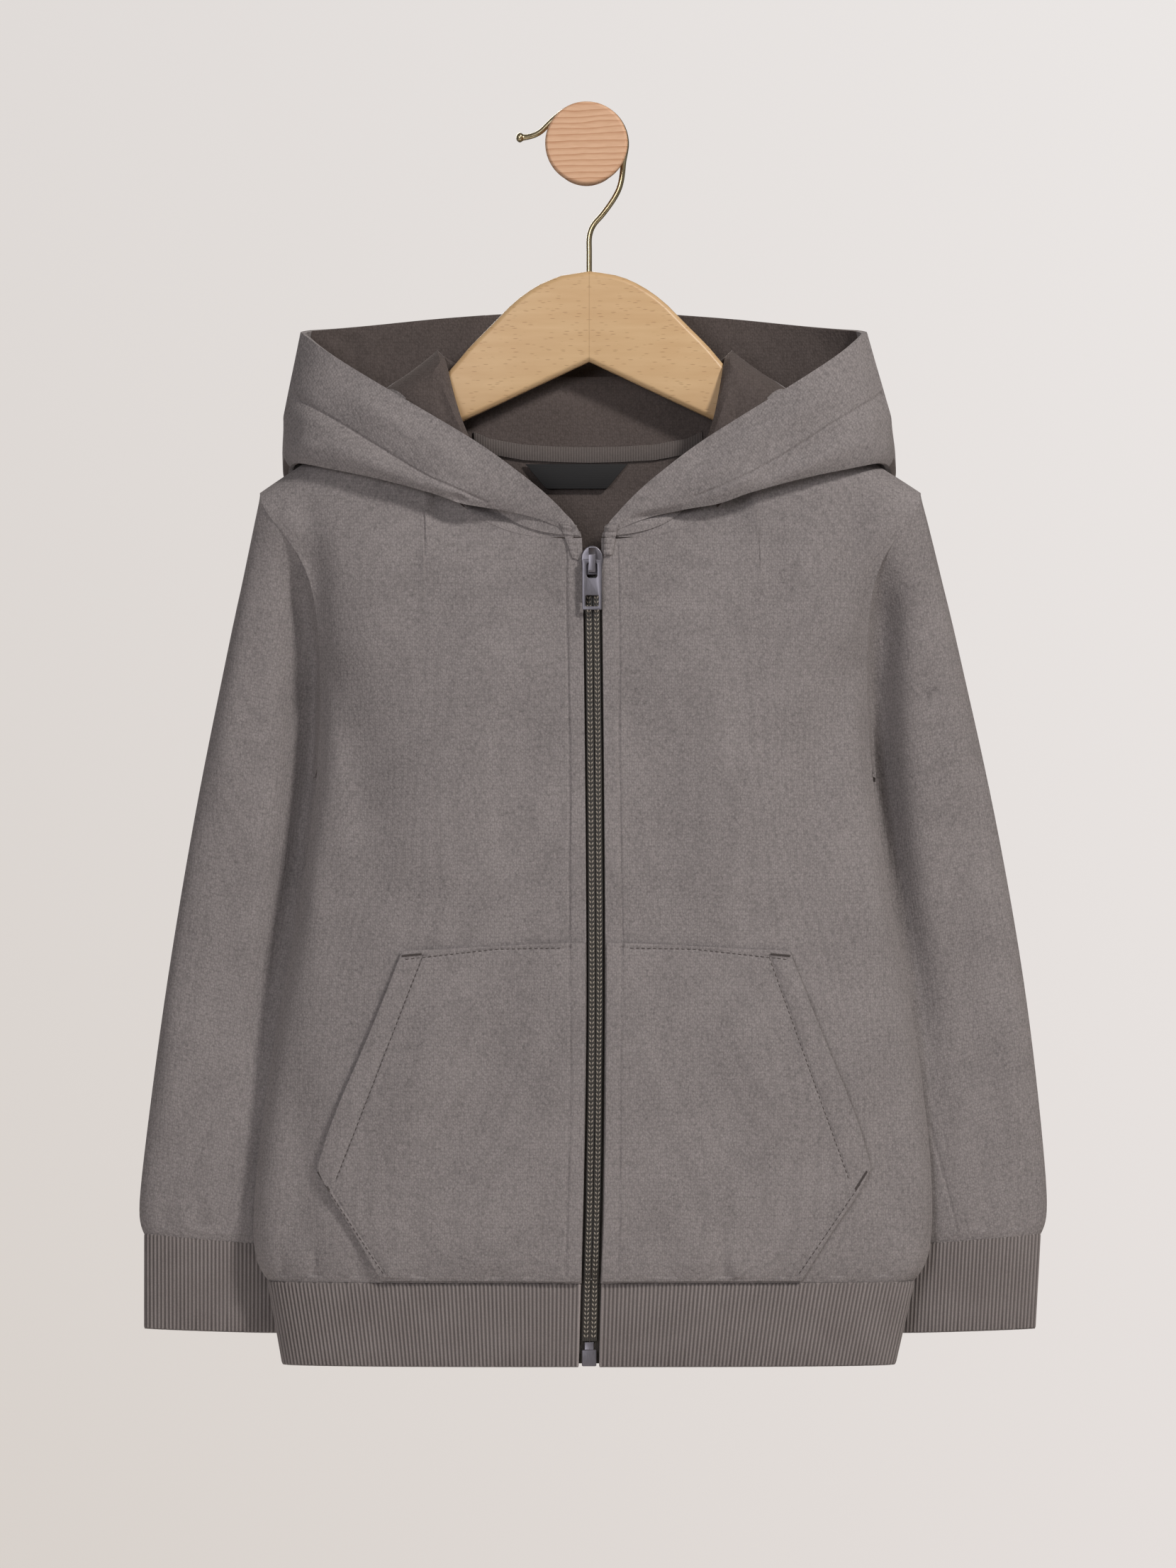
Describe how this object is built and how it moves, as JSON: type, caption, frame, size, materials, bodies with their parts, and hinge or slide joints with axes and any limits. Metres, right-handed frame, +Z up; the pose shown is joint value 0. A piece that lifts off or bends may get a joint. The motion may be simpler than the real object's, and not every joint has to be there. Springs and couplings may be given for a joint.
{
  "type": "child's zip-up hoodie on a wooden hanger, on a round wall peg",
  "caption": "Grey child's zip-up hoodie with kangaroo pockets and rib trims, hanging on a wooden hanger from a round wooden wall peg.",
  "frame": {"origin": "middle of the wall peg's back face, on the wall plane", "axes": "+Z up, -Y out from the wall towards the viewer, +X to the viewer's right"},
  "size_m": [0.527, 0.0837, 0.7288],
  "materials": {
    "fleece": "brushed, napped sweatshirt fleece",
    "rib": "2x1 rib knit, matt",
    "zip_tape": "woven tape, matt",
    "zip_coil": "nylon coil, satin",
    "neck_tape": "flat twill tape",
    "label": "smooth woven, blank",
    "gunmetal": "dark plated, satin",
    "beech": "clear satin lacquer",
    "hook_wire": "pale brass-toned plating, polished",
    "larch": "oiled, matt"
  },
  "bodies": {
    "garment": {"wall_peg": "larch", "hanger_hook": "hook_wire", "hanger_yoke": "beech", "front_left": "fleece", "front_right": "fleece", "back": "fleece", "sleeve_left": "fleece", "sleeve_right": "fleece", "hood_side_left": "fleece", "hood_side_right": "fleece", "hood_middle": "fleece", "pocket_left": "fleece", "pocket_right": "fleece", "hem_rib": "rib", "cuff_left": "rib", "cuff_right": "rib", "zip_tape_left": "zip_tape", "zip_tape_right": "zip_tape", "zip_chain_left": "zip_coil", "zip_chain_right": "zip_coil", "zip_box": "gunmetal", "zip_slider": "gunmetal", "neck_tape": "neck_tape", "neck_label": "label"},
    "tab": {"pull_tab": "gunmetal"}
  },
  "joints": [
    {"name": "pull_tab_swing", "type": "hinge", "parent": "garment", "child": "tab", "pos_m": [0.0032, -0.07905, -0.2413], "axis": [-1, 0, 0], "range_deg": [0, 150]}
  ]
}
